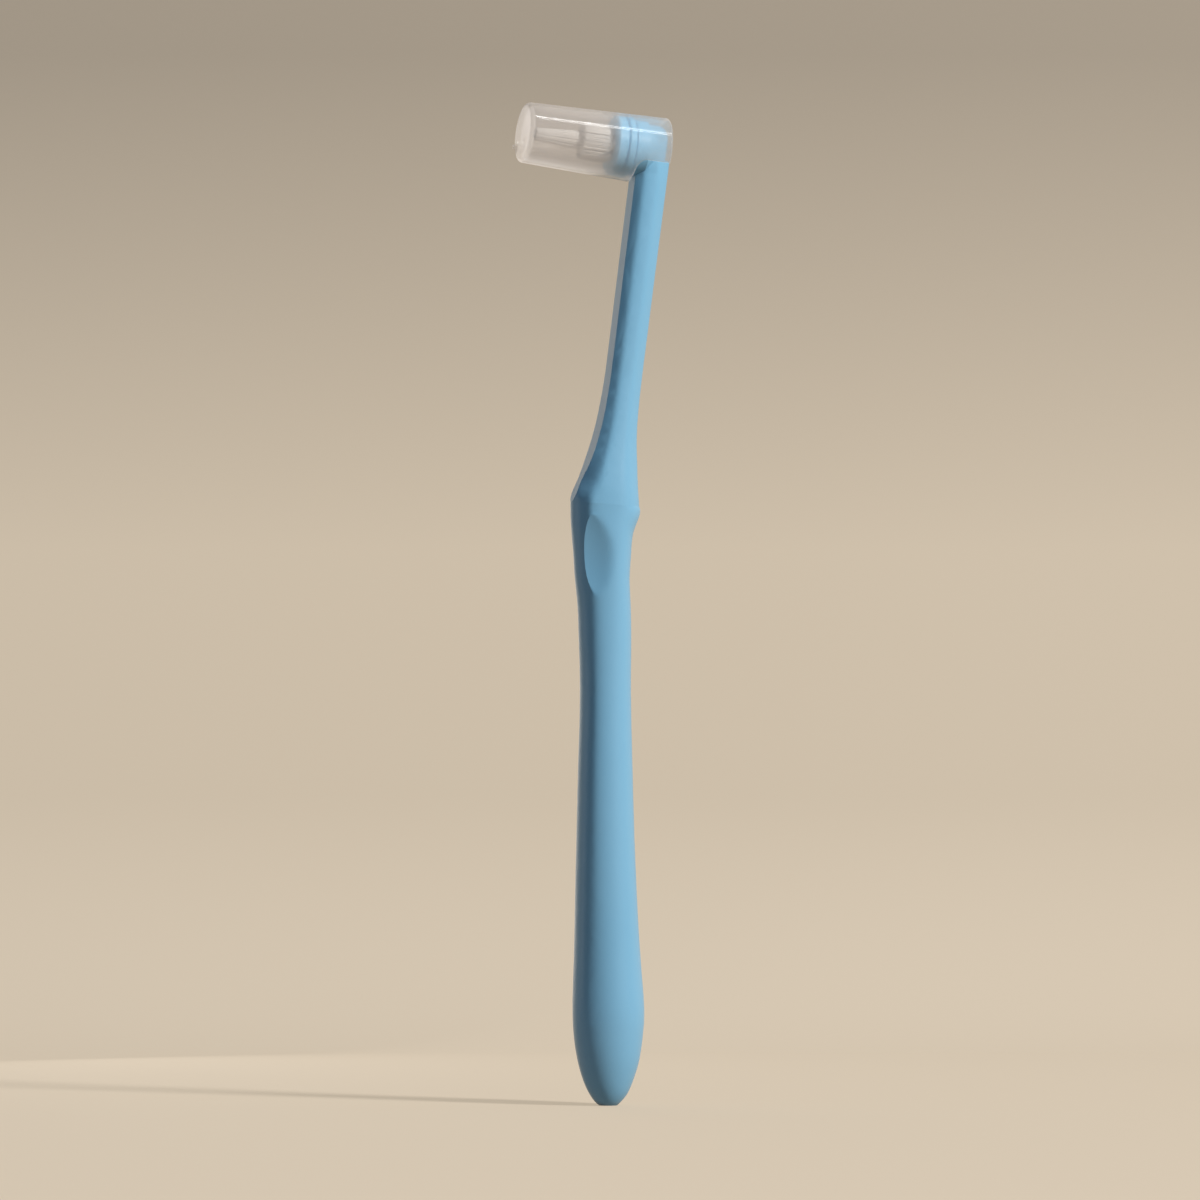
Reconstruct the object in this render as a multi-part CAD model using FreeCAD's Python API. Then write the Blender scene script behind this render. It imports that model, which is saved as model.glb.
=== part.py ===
import FreeCAD, Part
import math
import os

# End-tuft toothbrush that stands on its butt, in mm.
# The origin is the centre of the flat foot, Z runs up the grip and the head points to -X.

# Grip: depths run along X, widths along Y, offsets give the centre line (+ is behind the foot).
foot_depth = 3.3
bulge_height = 17.0
bulge_depth = 12.75
bulge_width = 12.6
bulge_offset = 0.05
waist_height = 73.0
waist_depth = 9.05
waist_width = 9.3
waist_offset = -0.5
shoulder_height = 106.5
shoulder_front = 6.95
shoulder_back = 5.45
shoulder_width = 10.2
shoulder_offset = 0.12
shoulder_tilt = 4.0

# Shares of the way from one named section to the next.
butt_steps = 7
taper_rise_shares = (0.12, 0.25, 0.40, 0.57, 0.75, 0.90)
taper_drop_shares = (0.17, 0.36, 0.52, 0.68, 0.82, 0.95)
taper_offset_shares = (0.30, 0.60, 0.85, 1.00, 1.05, 1.00)
flare_rise_shares = (0.22, 0.43, 0.55, 0.66, 0.77, 0.87)
flare_front_shares = (0.08, 0.22, 0.41, 0.61, 0.75, 0.91)
flare_back_shares = (0.02, -0.02, -0.15, -0.14, 0.03, 0.39)
flare_width_shares = (0.05, 0.20, 0.38, 0.58, 0.78, 0.93)
flare_facet_shares = (0.00, 0.05, 0.10, 0.18, 0.35, 0.65)

# Thumb dimples, one on each side, turned towards the front: crisp in front, rolling out behind.
dimple_height = 97.8
dimple_turn = 24.2
dimple_lean = 3.0
dimple_floor_share = 0.934
dimple_shift = 1.0
dimple_back = 1.7
dimple_hollow_radius = 28.0
dimple_long_radius = 31.0
dimple_roll_radius = 3.6
dimple_roll_turn = 24.0
dimple_span = 5.5

# Neck: it leans back from the shoulder to the head, with a flat strip down its front.
neck_lean = 7.4
neck_length = 63.3
neck_root = 24.0
neck_front = 3.1
neck_back = 2.83
neck_width = 6.8
neck_steps = 8
neck_rise_shares = (0.11, 0.26, 0.41, 0.57, 0.72, 0.86)
neck_front_shares = (0.81, 0.525, 0.31, 0.15, 0.065, 0.02)
neck_back_shares = (0.80, 0.52, 0.27, 0.09, 0.02, 0.00)
neck_width_shares = (0.93, 0.74, 0.52, 0.33, 0.18, 0.06)
neck_front_facet_shares = (0.70, 0.85, 0.95, 1.00, 1.00, 1.00)
neck_back_facet_shares = (0.15, 0.50, 0.80, 0.95, 1.00, 1.00)
neck_crown_shares = (0.10, 0.20, 0.28, 0.30, 0.30, 0.30)
neck_blend_shares = (0.30, 0.60, 0.85, 0.95, 1.00, 1.00)
strip_share = 0.57
front_bevel_share = 0.40
back_flat_share = 0.50
back_bevel_share = 0.80
shoulder_crown_share = 0.018
shoulder_facet_share = 0.55
shoulder_strip_share = 0.12
shoulder_bevel_share = 0.30
waist_facet_share = 0.25
waist_crown_share = 0.01
facet_hardness = 18
section_points = 32
loft_degree = 3

# Elbow and collar, measured from the crossing of neck axis and head axis.
elbow_front = 3.2
elbow_back = 2.95
elbow_radius = 4.6
elbow_round = 1.3
seat_back = 1.7
seat_drop = 1.6
collar_reach = 7.9
collar_diameter = 10.5
collar_edge = 0.3
barrel_length = 1.8
groove_length = 0.25
groove_depth = 0.25
bead_length = 1.4
bead_diameter = 10.7
bead_round = 0.25
rear_groove_length = 0.2
rear_barrel_diameter = 10.1
rear_barrel_length = 2.3
blend_length = 2.0

# Tufts and the flat metal anchors that fold them into their blind holes.
outer_tuft_count = 6
tuft_circle = 4.6
hole_depth = 4.2
outer_hole_diameter = 1.7
center_hole_diameter = 2.3
tuft_fit = 0.05
outer_tuft_reach = 5.6
outer_tuft_tip = 1.9
center_tuft_reach = 14.3
center_tuft_swell = 3.5
center_tuft_tip = 2.4
tuft_crown = 0.35
anchor_height = 1.6
anchor_thickness = 0.25
anchor_bite = 0.2
anchor_fold = 0.4
anchor_fit = 0.03

# Cap: a drafted tube that slides over the collar, notched below for the neck.
cap_fit = 0.12
cap_wall = 0.45
cap_end_wall = 1.0
cap_draft = 1.7
cap_end_round = 0.8
cap_inner_round = 0.5
cap_overhang = 0.15
cap_rim_round = 0.3
tuft_gap = 1.0
notch_gap = 0.8
notch_drop = 2.1
notch_round = 2.0
pip_diameter = 0.7
pip_length = 0.5
pip_edge = 1.0
pip_turn = 35.0

# One overrun serves every cut.
overrun = 1.0

# Worked out from the sizes above.
lean = math.radians(neck_lean)
head_x = shoulder_offset + neck_length * math.sin(lean)
head_z = shoulder_height + neck_length * math.cos(lean)
head_place = FreeCAD.Placement(
    FreeCAD.Vector(head_x, 0, head_z), FreeCAD.Rotation(FreeCAD.Vector(0, 1, 0), neck_lean))
bead_start = -collar_reach + barrel_length + groove_length
bead_end = bead_start + bead_length
cap_reach = collar_reach + center_tuft_reach + tuft_gap + cap_end_wall
cap_back = seat_back + cap_overhang
oval_form = (0, 0, 0, shoulder_strip_share, shoulder_bevel_share)
shoulder_form = (shoulder_facet_share, 0, shoulder_crown_share, shoulder_strip_share, shoulder_bevel_share)
turn_axis = FreeCAD.Vector(1, 0, 0)


def between(start, end, share):
    return start + (end - start) * share


# Distance from the section's centre to its outline, from a plain oval to a bevelled bar.
# The form holds the front facet, the back facet, the crown, the strip and the front bevel.
def outline_radius(angle, front, back, half, form):
    front_facet, back_facet, crown, strip, front_bevel = form
    along = math.cos(angle)
    across = abs(math.sin(angle))
    depth = back if along > 0 else front * (1 + crown)
    facet = back_facet if along > 0 else front_facet
    oval = 1 / math.hypot(along / depth, across / half)
    planes = [
        (-1, 0, front * (1 + crown)),
        (1, 0, back),
        (0, 1, half),
        bevel((-front, strip * half), (-front * (1 - front_bevel), half)),
        bevel((back, back_flat_share * half), (back * (1 - back_bevel_share), half))]
    total = 0
    for normal_x, normal_y, distance in planes:
        facing = max(0, normal_x * along + normal_y * across)
        total += (facing / distance) ** facet_hardness
    bar = total ** (-1 / facet_hardness)
    return between(oval, bar, facet)


# Plane through two points of the section, as its outward normal and its distance.
def bevel(first, second):
    step_x = second[0] - first[0]
    step_y = second[1] - first[1]
    length = math.hypot(step_x, step_y)
    normal_x = abs(step_y) / length * math.copysign(1, first[0])
    normal_y = abs(step_x) / length
    return normal_x, normal_y, normal_x * first[0] + normal_y * first[1]


# Closed curve round the bar at one station, square to a line that leans by tilt degrees.
def section(x, z, tilt, front, back, half, form):
    slope = math.radians(tilt)
    points = []
    for step in range(section_points):
        angle = 2 * math.pi * step / section_points
        radius = outline_radius(angle, front, back, half, form)
        along = radius * math.cos(angle)
        points.append(FreeCAD.Vector(
            x + along * math.cos(slope), radius * math.sin(angle), z - along * math.sin(slope)))
    curve = Part.BSplineCurve()
    curve.interpolate(Points=points, PeriodicFlag=True, Parameters=list(range(section_points + 1)))
    return Part.Wire([curve.toShape()])


def shoulder_section():
    return section(
        shoulder_offset, shoulder_height, shoulder_tilt,
        shoulder_front, shoulder_back, shoulder_width / 2, shoulder_form)


# Form of a grip section between the plain bulge, the waist and the shoulder.
def grip_form(facet, crown):
    return facet, 0, crown, shoulder_strip_share, shoulder_bevel_share


# Half an egg on its flat foot, a long taper to the waist and a flare to the shoulder.
def make_grip():
    sections = []
    foot_angle = math.asin(foot_depth / bulge_depth)
    for step in range(butt_steps):
        angle = between(foot_angle, math.pi / 2, step / (butt_steps - 1))
        height = bulge_height * (1 - math.cos(angle) / math.cos(foot_angle))
        half = bulge_depth / 2 * math.sin(angle)
        offset = bulge_offset * math.sin(angle - foot_angle)
        sections.append(section(offset, height, 0, half, half, bulge_width / bulge_depth * half, oval_form))
    taper = zip(taper_rise_shares + (1,), taper_drop_shares + (1,), taper_offset_shares + (1,))
    for rise, drop, shift in taper:
        height = between(bulge_height, waist_height, rise)
        half = between(bulge_depth, waist_depth, drop) / 2
        half_width = between(bulge_width, waist_width, drop) / 2
        offset = between(bulge_offset, waist_offset, shift)
        form = grip_form(waist_facet_share * drop, waist_crown_share * drop)
        sections.append(section(offset, height, 0, half, half, half_width, form))
    flare = zip(flare_rise_shares, flare_front_shares, flare_back_shares, flare_width_shares, flare_facet_shares)
    for rise, front_share, back_share, width_share, facet_share in flare:
        height = between(waist_height, shoulder_height, rise)
        offset = between(waist_offset, shoulder_offset, rise)
        front = offset - between(waist_offset - waist_depth / 2, shoulder_offset - shoulder_front, front_share)
        back = between(waist_offset + waist_depth / 2, shoulder_offset + shoulder_back, back_share) - offset
        half = between(waist_width, shoulder_width, width_share) / 2
        facet = between(waist_facet_share, shoulder_facet_share, facet_share)
        crown = between(waist_crown_share, shoulder_crown_share, facet_share)
        sections.append(section(offset, height, 0, front, back, half, grip_form(facet, crown)))
    sections.append(shoulder_section())
    return Part.makeLoft(sections, True, False, False, loft_degree)


# Point on the neck axis at a distance above the shoulder.
def neck_point(distance):
    return shoulder_offset + distance * math.sin(lean), shoulder_height + distance * math.cos(lean)


# Stations of the neck: distance, front, back, half width and form.
def neck_stations():
    stations = []
    table = zip(neck_rise_shares, neck_front_shares, neck_back_shares, neck_width_shares,
                neck_front_facet_shares, neck_back_facet_shares, neck_crown_shares, neck_blend_shares)
    for rise, front_share, back_share, width_share, front_facet, back_facet, crown, blend in table:
        strip = between(shoulder_strip_share, strip_share, blend)
        front_bevel = between(shoulder_bevel_share, front_bevel_share, blend)
        stations.append((
            neck_root * rise,
            between(neck_front, shoulder_front, front_share),
            between(neck_back, shoulder_back, back_share),
            between(neck_width, shoulder_width, width_share) / 2,
            (front_facet, back_facet, crown, strip, front_bevel)))
    top = neck_length + elbow_radius + overrun
    for step in range(neck_steps + 1):
        rise = step / neck_steps
        stations.append((
            between(neck_root, top, rise),
            between(neck_front, elbow_front, rise),
            between(neck_back, elbow_back, rise),
            neck_width / 2,
            (1, 1, neck_crown_shares[-1], strip_share, front_bevel_share)))
    return stations


def make_neck():
    sections = [shoulder_section()]
    for distance, front, back, half, form in neck_stations():
        x, z = neck_point(distance)
        sections.append(section(x, z, neck_lean, front, back, half, form))
    return Part.makeLoft(sections, True, False, False, loft_degree)


# Everything in front of the flat strip, which starts at the shoulder's front corner.
def strip_tool():
    edge = [FreeCAD.Vector(shoulder_offset - shoulder_front, 0, shoulder_height)]
    edge[0].z += shoulder_front * math.sin(math.radians(shoulder_tilt))
    for distance, front, back, half, form in neck_stations():
        x, z = neck_point(distance)
        edge.append(FreeCAD.Vector(x - front * math.cos(lean), 0, z + front * math.sin(lean)))
    run_out = edge[0] - (edge[1] - edge[0])
    curve = Part.BSplineCurve()
    curve.interpolate(edge)
    clear = 2 * shoulder_front
    outer_top = FreeCAD.Vector(edge[0].x - clear, 0, edge[-1].z)
    outer_foot = FreeCAD.Vector(edge[0].x - clear, 0, run_out.z)
    rest = Part.makePolygon([edge[-1], outer_top, outer_foot, run_out, edge[0]])
    face = Part.Face(Part.Wire([curve.toShape()] + rest.Edges))
    face.translate(FreeCAD.Vector(0, -shoulder_width, 0))
    return face.extrude(FreeCAD.Vector(0, 2 * shoulder_width, 0))


# Solid turned about the head axis from (distance along the axis, radius) pairs.
def turned(pairs):
    points = [FreeCAD.Vector(x, 0, radius) for x, radius in pairs]
    face = Part.Face(Part.makePolygon(points + points[:1]))
    return face.revolve(FreeCAD.Vector(0, 0, 0), turn_axis, 360)


def circle_edges(solid, x, radius):
    found = []
    for edge in solid.Edges:
        curve = edge.Curve
        if isinstance(curve, Part.Circle) and abs(curve.Radius - radius) < tuft_fit:
            if abs(curve.Center.x - x) < tuft_fit:
                found.append(edge)
    return found


# What the elbow's round top and the cap's seat behind it leave to cut away.
def elbow_trim():
    back = seat_back
    front = -collar_reach
    barrel = turned([(front, 0), (front, elbow_radius), (back, elbow_radius), (back, 0)])
    barrel = barrel.makeFillet(elbow_round, circle_edges(barrel, back, elbow_radius))
    size = 2 * collar_reach
    block = Part.makeBox(2 * size, 2 * size, size, FreeCAD.Vector(-size, -size, 0))
    seat = Part.makeBox(size, 2 * size, 2 * seat_drop, FreeCAD.Vector(back, -size, -seat_drop))
    trim = block.cut(barrel).fuse(seat)
    trim.Placement = head_place
    return trim


# Collar with its bead and grooves, blending into the elbow's sides.
def make_collar():
    radius = collar_diameter / 2
    bead = bead_diameter / 2
    rear = rear_barrel_diameter / 2
    groove = radius - groove_depth
    groove_start = -collar_reach + barrel_length
    rear_start = bead_end + rear_groove_length
    rear_end = rear_start + rear_barrel_length
    blend_end = rear_end + blend_length
    collar = turned([
        (-collar_reach, 0), (-collar_reach, radius - collar_edge), (-collar_reach + collar_edge, radius),
        (groove_start, radius), (groove_start, groove), (bead_start, groove),
        (bead_start, bead - bead_round), (bead_start + bead_round, bead),
        (bead_end - bead_round, bead), (bead_end, bead - bead_round),
        (bead_end, rear - groove_depth), (rear_start, rear - groove_depth), (rear_start, rear),
        (rear_end, rear), (blend_end, neck_width / 2), (blend_end, 0)])
    collar.Placement = head_place
    return collar


# Barrel that dips into one side of the grip: its outline is a shallow arc that rolls over at the back.
# The half turn puts the barrel's seam on its far side.
def dimple_tool():
    share = (dimple_height - waist_height) / (shoulder_height - waist_height)
    floor = dimple_floor_share * between(waist_width, shoulder_width, share) / 2
    axis = floor + dimple_long_radius
    hollow_x = -dimple_shift
    hollow_y = floor + dimple_hollow_radius
    back = math.asin(dimple_back / dimple_hollow_radius)
    front = -math.asin(dimple_span / dimple_hollow_radius)
    roll_x = hollow_x + (dimple_hollow_radius + dimple_roll_radius) * math.sin(back)
    roll_y = hollow_y - (dimple_hollow_radius + dimple_roll_radius) * math.cos(back)
    end = math.radians(dimple_roll_turn) - back
    hollow = [arc_point(hollow_x, hollow_y, -dimple_hollow_radius, -angle) for angle in (front, 0, back)]
    roll = [arc_point(roll_x, roll_y, dimple_roll_radius, angle) for angle in (-back, end / 2, end)]
    way_out = roll[-1] + FreeCAD.Vector(math.cos(end), -math.sin(end), 0) * dimple_span
    rest = Part.makePolygon([
        roll[-1], way_out, FreeCAD.Vector(way_out.x, axis, 0), FreeCAD.Vector(hollow[0].x, axis, 0), hollow[0]])
    outline = Part.Wire([Part.Arc(*hollow).toShape(), Part.Arc(*roll).toShape()] + rest.Edges)
    tool = Part.Face(outline).revolve(FreeCAD.Vector(0, axis, 0), FreeCAD.Vector(1, 0, 0), 360)
    tool.rotate(FreeCAD.Vector(0, axis, 0), FreeCAD.Vector(1, 0, 0), 180)
    tool.rotate(FreeCAD.Vector(0, floor, 0), FreeCAD.Vector(1, 0, 0), -dimple_lean)
    tool.rotate(FreeCAD.Vector(0, 0, 0), FreeCAD.Vector(0, 0, 1), dimple_turn)
    tool.translate(FreeCAD.Vector(between(waist_offset, shoulder_offset, share), 0, dimple_height))
    return tool


# Point of a circle round (x, y), by its angle from the circle's top.
def arc_point(x, y, radius, angle):
    return FreeCAD.Vector(x + radius * math.sin(angle), y + radius * math.cos(angle), 0)


def add_dimples(grip):
    tool = dimple_tool()
    return grip.cut([tool, tool.mirror(FreeCAD.Vector(0, 0, 0), FreeCAD.Vector(0, 1, 0))])


# Centres of the outer tufts on the head face, as (y, z) in the head's own frame.
def outer_places():
    places = []
    for index in range(outer_tuft_count):
        angle = 2 * math.pi * index / outer_tuft_count
        places.append((tuft_circle / 2 * math.cos(angle), tuft_circle / 2 * math.sin(angle)))
    return places


def make_hole(place, diameter):
    start = FreeCAD.Vector(-collar_reach - overrun, place[0], place[1])
    return Part.makeCylinder(diameter / 2, hole_depth + overrun, start, turn_axis)


# Flat plate across the hole, a little above its floor; grow adds room on every side.
def make_anchor(place, hole_diameter, grow=0):
    length = hole_diameter + 2 * anchor_bite + 2 * grow
    height = anchor_height + 2 * grow
    thickness = anchor_thickness + 2 * grow
    end = -collar_reach + hole_depth - anchor_fold + grow
    corner = FreeCAD.Vector(end - height, place[0] - thickness / 2, place[1] - length / 2)
    return Part.makeBox(height, thickness, length, corner)


def make_handle():
    handle = add_dimples(make_grip()).fuse(make_neck().cut(elbow_trim()))
    handle = handle.cut(strip_tool()).fuse(make_collar())
    cuts = [make_hole((0, 0), center_hole_diameter), make_anchor((0, 0), center_hole_diameter, anchor_fit)]
    for place in outer_places():
        cuts.append(make_hole(place, outer_hole_diameter))
        cuts.append(make_anchor(place, outer_hole_diameter, anchor_fit))
    for tool in cuts:
        tool.Placement = head_place.multiply(tool.Placement)
    return handle.cut(cuts).Solids[0]


# Bundle of filaments from the floor of its hole to its trimmed end, folded round its anchor.
def make_tuft(place, hole_diameter, pairs):
    root = hole_diameter / 2 - tuft_fit
    floor = -collar_reach + hole_depth - tuft_fit
    tuft = turned([(floor, 0), (floor, root), (-collar_reach, root)] + pairs)
    tuft.translate(FreeCAD.Vector(0, place[0], place[1]))
    return tuft.cut(make_anchor(place, hole_diameter, anchor_fit))


def make_outer_tuft(place):
    end = -collar_reach - outer_tuft_reach
    tip = outer_tuft_tip / 2
    return make_tuft(place, outer_hole_diameter, [(end, tip), (end, 0)])


def make_center_tuft():
    end = -collar_reach - center_tuft_reach
    start = -collar_reach - outer_tuft_reach
    root = center_hole_diameter / 2 - tuft_fit
    swell = center_tuft_swell / 2
    tip = center_tuft_tip / 2
    pairs = [(start, root), (start - (swell - root) * 2, swell), (end + tuft_crown, tip),
             (end, tip - tuft_crown), (end, 0)]
    return make_tuft((0, 0), center_hole_diameter, pairs)


# Radius of the cap's inside where it passes a place on the head axis.
def cap_inside(x):
    return bead_diameter / 2 + cap_fit + (x - bead_start) * math.tan(math.radians(cap_draft))


def make_cap():
    floor = -cap_reach + cap_end_wall
    shell = turned([
        (-cap_reach, 0), (-cap_reach, cap_inside(-cap_reach) + cap_wall),
        (cap_back, cap_inside(cap_back) + cap_wall), (cap_back, cap_inside(cap_back)),
        (floor, cap_inside(floor)), (floor, 0)])
    outer_edge = circle_edges(shell, -cap_reach, cap_inside(-cap_reach) + cap_wall)
    inner_edge = circle_edges(shell, floor, cap_inside(floor))
    rim_edge = circle_edges(shell, cap_back, cap_inside(cap_back) + cap_wall)
    shell = shell.makeFillet(cap_end_round, outer_edge)
    shell = shell.makeFillet(cap_inner_round, inner_edge)
    shell = shell.makeFillet(cap_rim_round, rim_edge)
    shell = shell.cut(notch_tool())
    return shell.fuse(make_pip()).removeSplitter()


# Opening for the neck: everything below the side edges, with a round inner corner.
def notch_tool():
    front = -elbow_front - notch_gap
    width = 2 * collar_reach
    length = cap_back - front + overrun
    block = Part.makeBox(length, 2 * width, width, FreeCAD.Vector(front, -width, -notch_drop - width))
    corner = [edge for edge in block.Edges
              if edge.BoundBox.XMax < front + tuft_fit and edge.BoundBox.ZMin > -notch_drop - tuft_fit]
    return block.makeFillet(notch_round, corner)


# Small stub left by the mould's gate on the cap's end.
def make_pip():
    radius = cap_inside(-cap_reach) + cap_wall - pip_edge
    angle = math.radians(pip_turn)
    place = FreeCAD.Vector(-cap_reach - pip_length, radius * math.cos(angle), -radius * math.sin(angle))
    return Part.makeCylinder(pip_diameter / 2, pip_length + cap_end_wall / 2, place, turn_axis)


def save(name, shape):
    shape.exportStep("parts/" + name + ".step")


def save_in_head(name, shape):
    shape.Placement = head_place.multiply(shape.Placement)
    save(name, shape)


os.makedirs("parts", exist_ok=True)
save("handle", make_handle())
save_in_head("cap", make_cap())
save_in_head("center_tuft", make_center_tuft())
save_in_head("center_anchor", make_anchor((0, 0), center_hole_diameter))
for number, spot in enumerate(outer_places(), start=1):
    save_in_head("outer_tuft_" + str(number), make_outer_tuft(spot))
    save_in_head("outer_anchor_" + str(number), make_anchor(spot, outer_hole_diameter))
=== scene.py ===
import bpy
import math
import numpy as np
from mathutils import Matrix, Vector


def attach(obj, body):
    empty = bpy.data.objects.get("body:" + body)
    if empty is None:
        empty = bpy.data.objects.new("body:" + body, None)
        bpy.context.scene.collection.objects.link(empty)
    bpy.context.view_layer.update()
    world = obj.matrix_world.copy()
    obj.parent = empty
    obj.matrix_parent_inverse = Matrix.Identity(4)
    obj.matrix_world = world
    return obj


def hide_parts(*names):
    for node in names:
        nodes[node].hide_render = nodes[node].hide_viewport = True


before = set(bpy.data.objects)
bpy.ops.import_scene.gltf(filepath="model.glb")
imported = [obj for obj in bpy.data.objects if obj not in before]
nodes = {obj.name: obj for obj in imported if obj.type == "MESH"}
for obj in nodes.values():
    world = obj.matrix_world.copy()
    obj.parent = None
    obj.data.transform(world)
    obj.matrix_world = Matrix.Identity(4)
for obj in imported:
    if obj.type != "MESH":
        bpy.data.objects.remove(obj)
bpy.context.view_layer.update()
mm = 0.001
print("frame loaded:", len(nodes), "nodes")

# the head's own frame: -x out of the head, +z up the neck, with the CAD's numbers in mm
head = {"lean": 7.4, "x": 8.2727, "z": 169.2728, "face": -7.9}


# carries points (..., 3) in mm from the head's frame to the part's: a turn about y by the lean, then a shift
def fromHead(points):
    lean = math.radians(head["lean"])
    turn = np.array([[math.cos(lean), 0, math.sin(lean)], [0, 1, 0], [-math.sin(lean), 0, math.cos(lean)]])
    return points @ turn.T + np.array([head["x"], 0, head["z"]])


# puts points (n, 3) in mm and faces into a new mesh object at the origin
def meshObject(name, points, faces):
    mesh = bpy.data.meshes.new(name)
    mesh.from_pydata((points * mm).tolist(), [], faces)
    mesh.polygons.foreach_set("use_smooth", np.ones(len(mesh.polygons), dtype=bool))
    mesh.update()
    piece = bpy.data.objects.new(name, mesh)
    bpy.context.scene.collection.objects.link(piece)
    return piece


def newMaterial(name):
    material = bpy.data.materials.new(name)
    material.use_nodes = True
    tree = material.node_tree
    return material, tree, tree.nodes["Principled BSDF"]


def addNode(tree, kind, settings):
    node = tree.nodes.new(kind)
    for key, value in settings.items():
        node.inputs[key].default_value = value
    return node


def objectPlace(tree):
    return tree.nodes.new("ShaderNodeTexCoord").outputs["Object"]


# a 0..1 noise on the given coordinates
def noiseOn(tree, place, scale, detail):
    noise = addNode(tree, "ShaderNodeTexNoise", {"Scale": scale, "Detail": detail})
    tree.links.new(place, noise.inputs["Vector"])
    return noise.outputs["Fac"]


# a socket's run from one range carried to another, held at both ends
def spread(tree, source, low, high, start=0.0, end=1.0):
    node = addNode(tree, "ShaderNodeMapRange", {"From Min": start, "From Max": end, "To Min": low, "To Max": high})
    tree.links.new(source, node.inputs["Value"])
    return node.outputs["Result"]


# two sockets joined by their product or by the larger of them
def joined(tree, operation, first, second):
    node = tree.nodes.new("ShaderNodeMath")
    node.operation = operation
    tree.links.new(first, node.inputs[0])
    tree.links.new(second, node.inputs[1])
    return node.outputs[0]


# a blend of two colours by a factor socket, linked to the shader's base colour
def blendColours(tree, shader, factor, first, second):
    blend = tree.nodes.new("ShaderNodeMix")
    blend.data_type = "RGBA"
    blend.inputs["A"].default_value = first
    blend.inputs["B"].default_value = second
    tree.links.new(factor, blend.inputs["Factor"])
    tree.links.new(blend.outputs["Result"], shader.inputs["Base Color"])


# a blend of two shaders, by a share in its own socket or by a linked one
def mixShaders(tree, first, second, share=None, factor=None):
    mix = tree.nodes.new("ShaderNodeMixShader")
    if factor is None:
        mix.inputs["Fac"].default_value = share
    else:
        tree.links.new(factor, mix.inputs["Fac"])
    tree.links.new(first, mix.inputs[1])
    tree.links.new(second, mix.inputs[2])
    return mix.outputs["Shader"]


def toSurface(tree, shader):
    tree.links.new(shader, tree.nodes["Material Output"].inputs["Surface"])


def paint(piece, material):
    piece.data.materials.clear()
    piece.data.materials.append(material)


handleLook = {
    "blue": (0.225, 0.490, 0.700, 1),
    "deepBlue": (0.205, 0.465, 0.675, 1),
    "satin": (0.30, 0.40),  # roughness from and to
    "shine": 0.45,
    "drift": 45.0,
    "driftDetail": 3.0,
    "grain": 2600.0,
    "grainDetail": 2.0,
    "grainStrength": 0.05,
    "grainHeight": 0.0001,
    "rollRadius": 0.0024,
    "rollStart": (-0.0046, -0.0024),  # x where the roll begins and is full
    "rollTop": (0.1056, 0.1046),  # z where the roll begins and is full, going down
    "rollSamples": 8,
}


# moulded satin plastic: colour and sheen drift slowly along the moulding, and a fine grain breaks the gloss;
# behind the dimples, below the shoulder, the edges shade as if rounded
def satinPlastic(look):
    material, tree, shader = newMaterial("satinHandle")
    place = objectPlace(tree)
    drift = noiseOn(tree, place, look["drift"], look["driftDetail"])
    grain = noiseOn(tree, place, look["grain"], look["grainDetail"])
    blendColours(tree, shader, drift, look["deepBlue"], look["blue"])
    tree.links.new(spread(tree, drift, *look["satin"]), shader.inputs["Roughness"])
    shader.inputs["Specular IOR Level"].default_value = look["shine"]
    split = tree.nodes.new("ShaderNodeSeparateXYZ")
    tree.links.new(place, split.inputs["Vector"])
    behind = spread(tree, split.outputs["X"], 0.0, look["rollRadius"], *look["rollStart"])
    below = spread(tree, split.outputs["Z"], 0.0, 1.0, *look["rollTop"])
    roll = tree.nodes.new("ShaderNodeBevel")
    roll.samples = look["rollSamples"]
    tree.links.new(joined(tree, "MULTIPLY", behind, below), roll.inputs["Radius"])
    bump = addNode(tree, "ShaderNodeBump", {"Strength": look["grainStrength"], "Distance": look["grainHeight"]})
    tree.links.new(grain, bump.inputs["Height"])
    tree.links.new(roll.outputs["Normal"], bump.inputs["Normal"])
    tree.links.new(bump.outputs["Normal"], shader.inputs["Normal"])
    return material


paint(nodes["handle"], satinPlastic(handleLook))
print("handle painted")

capLook = {
    "milk": (0.81, 0.785, 0.775, 1),
    "gloss": (0.10, 0.16),  # roughness from and to
    "haze": (0.35, 0.80),  # how much it hides, square on and at a grazing angle
    "hazeTurn": 0.15,
    "shadow": 0.12,
    "through": 0.85,
    "polish": 0.02,
    "polishGloss": 0.14,
    "cloud": 420.0,
    "cloudDetail": 2.0,
}


# frosted thin wall: mostly clear square on and milky where the eye grazes it; part of its milk passes light on
# from behind, and its shadow is thinner than its look
def frostedWall(look):
    material, tree, shader = newMaterial("frostedCap")
    shader.inputs["Base Color"].default_value = look["milk"]
    cloud = noiseOn(tree, objectPlace(tree), look["cloud"], look["cloudDetail"])
    tree.links.new(spread(tree, cloud, *look["gloss"]), shader.inputs["Roughness"])
    edge = addNode(tree, "ShaderNodeLayerWeight", {"Blend": look["hazeTurn"]})
    rays = tree.nodes.new("ShaderNodeLightPath")
    haze = spread(tree, edge.outputs["Facing"], *look["haze"])
    thin = spread(tree, rays.outputs["Is Shadow Ray"], 1.0, look["shadow"])
    veil = joined(tree, "MULTIPLY", haze, thin)
    tree.links.new(veil, shader.inputs["Alpha"])
    behind = addNode(tree, "ShaderNodeBsdfTranslucent", {"Color": look["milk"]})
    clear = tree.nodes.new("ShaderNodeBsdfTransparent")
    polish = addNode(tree, "ShaderNodeBsdfAnisotropic", {"Roughness": look["polishGloss"]})
    passing = mixShaders(tree, clear.outputs["BSDF"], behind.outputs["BSDF"], factor=veil)
    wall = mixShaders(tree, shader.outputs["BSDF"], passing, share=look["through"])
    toSurface(tree, mixShaders(tree, wall, polish.outputs["BSDF"], share=look["polish"]))
    return material


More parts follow.
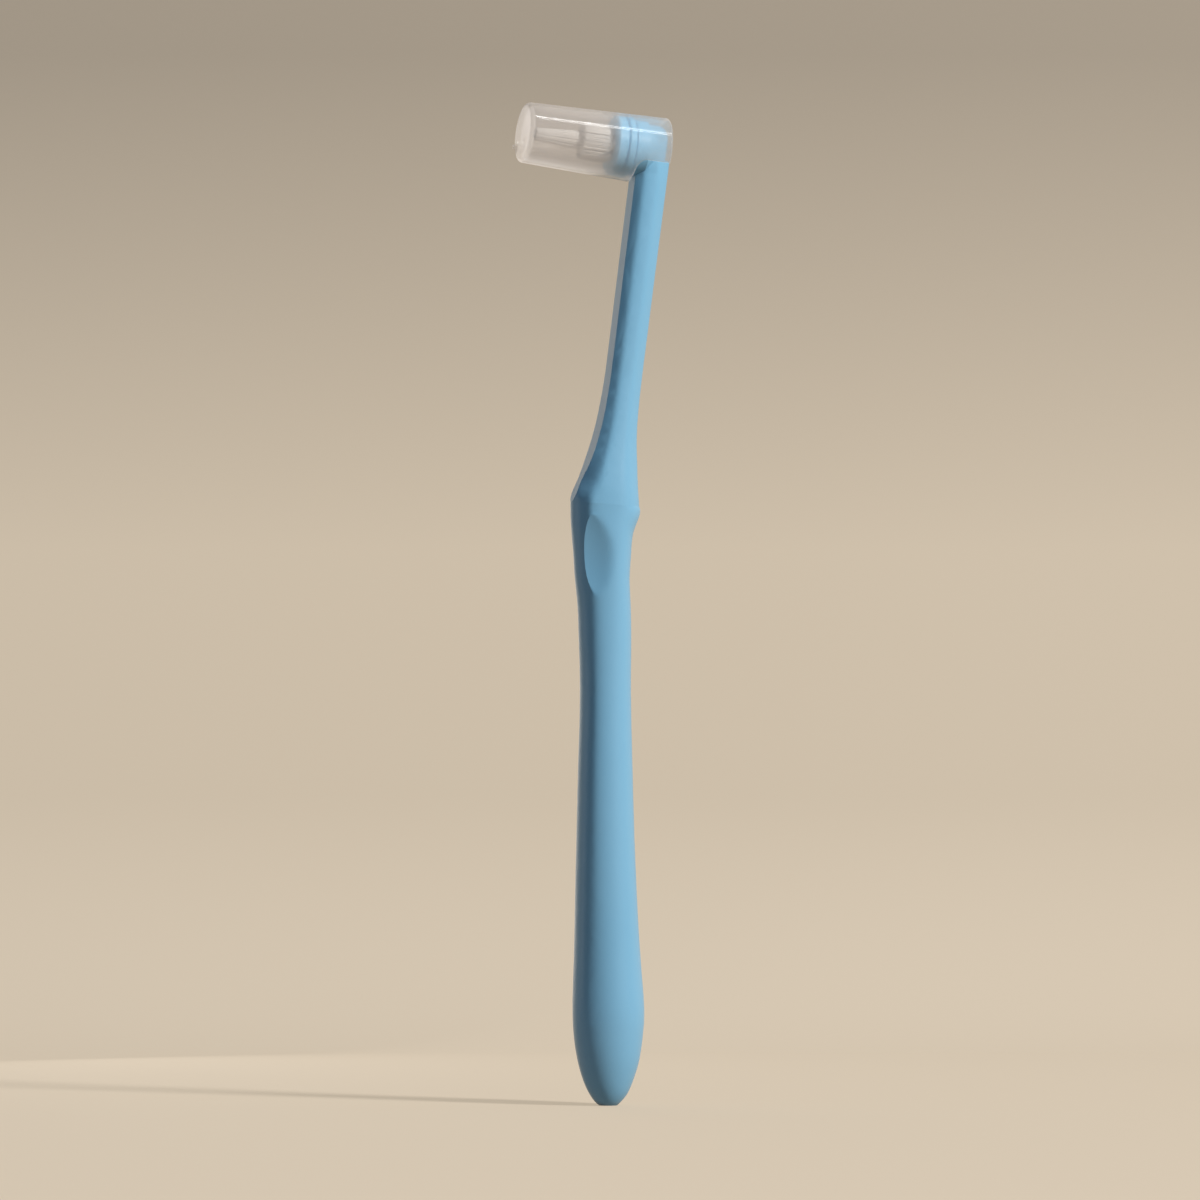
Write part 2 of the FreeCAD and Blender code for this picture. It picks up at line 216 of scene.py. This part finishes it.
paint(nodes["cap"], frostedWall(capLook))
print("cap painted")

anchorLook = {
    "brass": (0.72, 0.52, 0.22, 1),
    "dull": (0.58, 0.41, 0.18, 1),
    "polish": (0.28, 0.42),  # roughness from and to
    "streak": 2500.0,
    "streakDetail": 2.0,
    "stretch": (0.15, 1.0, 1.0),
}


# rolled brass strip: fine streaks in tone and polish
def brassStrip(look):
    material, tree, shader = newMaterial("brassStrip")
    along = addNode(tree, "ShaderNodeMapping", {"Scale": look["stretch"]})
    tree.links.new(objectPlace(tree), along.inputs["Vector"])
    streak = noiseOn(tree, along.outputs["Vector"], look["streak"], look["streakDetail"])
    blendColours(tree, shader, streak, look["brass"], look["dull"])
    tree.links.new(spread(tree, streak, *look["polish"]), shader.inputs["Roughness"])
    shader.inputs["Metallic"].default_value = 1.0
    return material


brass = brassStrip(anchorLook)
anchorNodes = [node for name, node in nodes.items() if "anchor" in name]
for node in anchorNodes:
    paint(node, brass)
print("anchors painted:", len(anchorNodes))

bristleLook = {
    "cream": (0.93, 0.90, 0.85, 1),
    "white": (0.97, 0.95, 0.92, 1),
    "sheen": (0.34, 0.50),  # roughness from and to
    "strand": 2400.0,
    "strandDetail": 1.0,
    "stretch": (0.03, 1.0, 1.0),
    "through": 0.35,
}


# nylon filament: tone changes from strand to strand and hardly along them, and some light passes through
def nylonFilament(look):
    material, tree, shader = newMaterial("nylonFilament")
    lean = (0, math.radians(-head["lean"]), 0)
    along = addNode(tree, "ShaderNodeMapping", {"Rotation": lean, "Scale": look["stretch"]})
    tree.links.new(objectPlace(tree), along.inputs["Vector"])
    strand = noiseOn(tree, along.outputs["Vector"], look["strand"], look["strandDetail"])
    blendColours(tree, shader, strand, look["cream"], look["white"])
    tree.links.new(spread(tree, strand, *look["sheen"]), shader.inputs["Roughness"])
    behind = addNode(tree, "ShaderNodeBsdfTranslucent", {"Color": look["white"]})
    toSurface(tree, mixShaders(tree, shader.outputs["BSDF"], behind.outputs["BSDF"], share=look["through"]))
    return material


# lengths in mm, measured from the head's face
tuftShape = {
    "thickness": 0.18, "sides": 5, "endShare": 0.5, "rootDepth": 0.8, "trim": 0.10, "scatter": 0.02, "seed": 7,
    "outerTufts": 6, "outerCount": 220, "outerReach": 5.6, "outerRoot": 0.74, "circle": 2.3,
    "bundleInside": 1.25, "bundleOutside": 3.26,
    "stations": (0, 0.125, 0.16, 0.22, 0.32, 0.99, 1.0),  # shares of an outer strand
    "openStart": 0.125, "openRun": 0.195, "openPower": 0.6,
    "centerSeed": 17, "centerCount": 260, "centerReach": 14.3, "centerRoot": 1.02, "centerSwell": 1.62,
    "centerTip": 1.08, "swellBefore": 0.4, "swellAfter": 0.8, "taperStops": (9.5, 12.0, 14.2), "crown": 0.30,
}


# spots of n strands in a unit disc: radius sqrt((i + 1/2) / n), i golden angles round, with a little scatter
def strandSpots(count, scatter, rng):
    index = np.arange(count)
    reach = np.sqrt((index + 0.5) / count)
    angle = index * math.pi * (3 - math.sqrt(5))
    return np.stack([reach * np.cos(angle), reach * np.sin(angle)], axis=-1) + rng.normal(0, scatter, (count, 2))


# the unit disc pulled out to the unit square, so that a round root can fill a sector at its tip
def discToSquare(spots):
    a, b = np.clip(spots, -0.999, 0.999).T
    k = 2 * math.sqrt(2)
    first = 2 + a * a - b * b
    second = 2 - a * a + b * b
    u = np.sqrt(np.clip(first + k * a, 0, None)) - np.sqrt(np.clip(first - k * a, 0, None))
    v = np.sqrt(np.clip(second + k * b, 0, None)) - np.sqrt(np.clip(second - k * b, 0, None))
    return np.clip(np.stack([u, v], axis=-1) / 2, -1, 1)


# outer tuft: strands round in their hole, opening into their sector of one ring, trimmed nearly flat; the
# path is the root's spot moved towards the tip's by a power of the way out
def outerPath(number, shape):
    rng = np.random.default_rng(shape["seed"] + number)
    spots = strandSpots(shape["outerCount"], shape["scatter"], rng)
    sector = 2 * math.pi / shape["outerTufts"]
    middle = sector * number
    outward = np.array([math.cos(middle), math.sin(middle)])
    across = np.array([-outward[1], outward[0]])
    root = outward * shape["circle"] + shape["outerRoot"] * (spots[:, :1] * across + spots[:, 1:] * outward)
    square = discToSquare(spots)
    inside, outside = shape["bundleInside"], shape["bundleOutside"]
    radius = np.sqrt(inside ** 2 + (square[:, 1] + 1) / 2 * (outside ** 2 - inside ** 2))
    angle = middle + square[:, 0] * sector / 2
    tip = radius[:, None] * np.stack([np.cos(angle), np.sin(angle)], axis=-1)
    reach = shape["outerReach"] - rng.uniform(0, shape["trim"], shape["outerCount"])
    share = np.array(shape["stations"])
    opening = np.clip((share - shape["openStart"]) / shape["openRun"], 0, 1) ** shape["openPower"]
    opening = opening[None, :, None]
    path = np.empty((shape["outerCount"], len(share), 3))
    path[:, :, 0] = head["face"] + shape["rootDepth"] - share * (reach[:, None] + shape["rootDepth"])
    path[:, :, 1:] = root[:, None, :] * (1 - opening) + tip[:, None, :] * opening
    return path


# center tuft: strands straight through the ring, a swell just past it and a taper to a domed end
def centerPath(shape):
    rng = np.random.default_rng(shape["centerSeed"])
    spots = strandSpots(shape["centerCount"], shape["scatter"], rng)
    swell = [shape["outerReach"] - shape["swellBefore"], shape["outerReach"] + shape["swellAfter"]]
    out = np.array([-shape["rootDepth"], 0, *swell, *shape["taperStops"], shape["centerReach"]])
    wide = np.interp(out, [0, *swell, shape["centerReach"]],
                     [shape["centerRoot"], shape["centerRoot"], shape["centerSwell"], shape["centerTip"]])
    dome = shape["crown"] * (spots ** 2).sum(axis=1)
    short = rng.uniform(0, shape["trim"], shape["centerCount"]) + dome
    path = np.empty((shape["centerCount"], len(out), 3))
    path[:, :, 0] = head["face"] - out + np.clip(out, 0, None) / shape["centerReach"] * short[:, None]
    path[:, :, 1:] = spots[:, None, :] * wide[None, :, None]
    return path


# strands along paths (strands, stations, 3) in the head's frame: a ring of sides round each station, full
# thickness up to a small round end, closed at both ends
def strandMesh(name, path, shape):
    count, rings = path.shape[:2]
    sides = shape["sides"]
    thick = np.full(rings, shape["thickness"] / 2)
    thick[-1] *= shape["endShare"]
    turn = 2 * math.pi * np.arange(sides) / sides
    ring = np.stack([np.zeros(sides), np.cos(turn), np.sin(turn)], axis=-1)
    skin = path[:, :, None, :] + thick[None, :, None, None] * ring
    first = np.arange(count)[:, None, None] * rings * sides
    row = np.arange(rings - 1)[None, :, None] * sides
    col = np.arange(sides)[None, None, :]
    after = (col + 1) % sides
    quads = np.stack(np.broadcast_arrays(first + row + col, first + row + sides + col,
                                         first + row + sides + after, first + row + after), axis=-1)
    ends = first[:, :, 0] + np.arange(sides)
    faces = quads.reshape(-1, 4).tolist() + ends.tolist() + (ends[:, ::-1] + (rings - 1) * sides).tolist()
    return meshObject(name, fromHead(skin.reshape(-1, 3)), faces)


nylon = nylonFilament(bristleLook)


def finishTuft(piece, node):
    paint(piece, nylon)
    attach(piece, "brush")
    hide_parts(node)


for number in range(tuftShape["outerTufts"]):
    tuft = strandMesh(f"outerTuft{number + 1}", outerPath(number, tuftShape), tuftShape)
    finishTuft(tuft, f"outer_tuft_{number + 1}")
finishTuft(strandMesh("centerTuft", centerPath(tuftShape), tuftShape), "center_tuft")
print("tufts made")

# the photo's view: turn about z in degrees, lens and sensor in mm, the rest in metres
view = {"azimuth": 16.0, "lens": 300.0, "sensor": 36.0, "field": 0.2128, "right": -0.00144, "height": 0.0896,
        "farthest": 20.0}
azimuth = math.radians(view["azimuth"])
rightWay = Vector((math.cos(azimuth), -math.sin(azimuth), 0))
towardsEye = Vector((-math.sin(azimuth), -math.cos(azimuth), 0))
aim = rightWay * view["right"] + Vector((0, 0, view["height"]))

stageLook = {
    "colour": (0.25, 0.215, 0.175, 1), "dull": 0.9,
    # lift is a painted glow on the sheet; up the wall it falls to the top share, which is painted shade
    "lift": (0.425, 0.358, 0.270, 1), "shadedLiftTop": 0.42, "paintedShadeHeights": (0.10, 0.20),  # heights of the fade
    "width": 4.0, "front": 1.5, "behind": 0.20, "bend": 0.05, "height": 2.5, "bendSteps": 24, "widthSteps": 13,
}


# one sheet: floor, a quarter bend and the wall, as a profile carried along the image's right
def backdropSheet(look):
    turn = np.linspace(0, math.pi / 2, look["bendSteps"])
    depth = np.concatenate([[-look["front"]], look["behind"] + look["bend"] * np.sin(turn),
                            [look["behind"] + look["bend"]]])
    rise = np.concatenate([[0], look["bend"] * (1 - np.cos(turn)), [look["height"]]])
    across = np.linspace(-look["width"] / 2, look["width"] / 2, look["widthSteps"])
    grid = depth[:, None, None] * -np.array(towardsEye) + across[None, :, None] * np.array(rightWay)
    grid[:, :, 2] = rise[:, None]
    rows, cols = grid.shape[:2]
    row, col = np.meshgrid(np.arange(rows - 1), np.arange(cols - 1), indexing="ij")
    corner = row * cols + col
    quads = np.stack([corner, corner + 1, corner + cols + 1, corner + cols], axis=-1).reshape(-1, 4)
    return meshObject("backdrop", grid.reshape(-1, 3) / mm, quads.tolist())


# pale plaster that looks lighter than the light it throws on the part, through a painted glow that fades up the
# wall into painted shade behind the head; from behind, the eye looks through the sheet, so the part shows from
# every side
def palePlaster(look):
    material, tree, shader = newMaterial("palePlaster")
    shader.inputs["Base Color"].default_value = look["colour"]
    shader.inputs["Roughness"].default_value = look["dull"]
    shader.inputs["Emission Color"].default_value = look["lift"]
    rays = tree.nodes.new("ShaderNodeLightPath").outputs
    seen = joined(tree, "MAXIMUM", rays["Is Camera Ray"], rays["Is Glossy Ray"])
    seen = joined(tree, "MAXIMUM", seen, rays["Is Transmission Ray"])
    split = tree.nodes.new("ShaderNodeSeparateXYZ")
    tree.links.new(objectPlace(tree), split.inputs["Vector"])
    # painted shade: the glow weakens with height, so the wall behind the head looks shaded
    paintedShadeFade = spread(tree, split.outputs["Z"], 1.0, look["shadedLiftTop"], *look["paintedShadeHeights"])
    tree.links.new(joined(tree, "MULTIPLY", seen, paintedShadeFade), shader.inputs["Emission Strength"])
    back = tree.nodes.new("ShaderNodeNewGeometry").outputs["Backfacing"]
    away = joined(tree, "MULTIPLY", rays["Is Camera Ray"], back)
    clear = tree.nodes.new("ShaderNodeBsdfTransparent")
    toSurface(tree, mixShaders(tree, shader.outputs["BSDF"], clear.outputs["BSDF"], factor=away))
    return material


backdrop = backdropSheet(stageLook)
paint(backdrop, palePlaster(stageLook))
print("floor and backdrop made")

# turn and rise in degrees as seen from the part, distance and size in metres, power in watts
lampLook = {
    "keyLamp": {"turn": 55.5, "rise": 33.0, "distance": 2.5, "size": 0.42, "power": 67.0,
                "colour": (1.0, 0.965, 0.915)},
    "fillLamp": {"turn": -105.0, "rise": 5.0, "distance": 1.2, "size": 0.6, "power": 1.5,
                 "colour": (0.95, 0.97, 1.0)},
    "glintLamp": {"turn": 53.5, "rise": 59.4, "distance": 2.5, "size": 0.12, "power": 3.5,
                  "colour": (1.0, 1.0, 1.0)},
    "bounceLamp": {"turn": -152.0, "rise": 4.0, "distance": 0.2, "size": 0.2, "power": 0.07,
                   "colour": (1.0, 0.95, 0.87)},
}
roomLook = {"sky": (0.34, 0.62, 1.0, 1), "skyStrength": 0.155, "surround": (0.48, 0.42, 0.34, 1)}


# an area light on a sphere round the part: turn is from the eye towards the image's right
def addLamp(name, look):
    turn = math.radians(look["turn"])
    rise = math.radians(look["rise"])
    flat = towardsEye * math.cos(turn) + rightWay * math.sin(turn)
    place = aim + (flat * math.cos(rise) + Vector((0, 0, math.sin(rise)))) * look["distance"]
    data = bpy.data.lights.new(name, "AREA")
    data.shape = "DISK"
    data.size = look["size"]
    data.energy = look["power"]
    data.color = look["colour"]
    lamp = bpy.data.objects.new(name, data)
    lamp.location = place
    lamp.visible_camera = False
    lamp.rotation_euler = (aim - place).to_track_quat("-Z", "Y").to_euler()
    bpy.context.scene.collection.objects.link(lamp)


# a weak sky on the part, and a plain surround where the eye passes the sheet
def studioRoom(look):
    world = bpy.data.worlds.new("studio")
    world.use_nodes = True
    tree = world.node_tree
    sky = tree.nodes["Background"]
    sky.inputs["Color"].default_value = look["sky"]
    sky.inputs["Strength"].default_value = look["skyStrength"]
    surround = addNode(tree, "ShaderNodeBackground", {"Color": look["surround"]})
    seen = tree.nodes.new("ShaderNodeLightPath").outputs["Is Camera Ray"]
    room = mixShaders(tree, sky.outputs["Background"], surround.outputs["Background"], factor=seen)
    tree.links.new(room, tree.nodes["World Output"].inputs["Surface"])
    return world


for name, look in lampLook.items():
    addLamp(name, look)
bpy.context.scene.world = studioRoom(roomLook)

cameraData = bpy.data.cameras.new("photoView")
cameraData.lens = view["lens"]
cameraData.sensor_width = view["sensor"]
cameraData.clip_end = view["farthest"]
camera = bpy.data.objects.new("photoView", cameraData)
camera.location = aim + towardsEye * (view["field"] * view["lens"] / view["sensor"])
camera.rotation_euler = (-towardsEye).to_track_quat("-Z", "Y").to_euler()
bpy.context.scene.collection.objects.link(camera)
bpy.context.scene.camera = camera
bpy.context.scene.view_settings.view_transform = "Standard"
print("light and camera set")
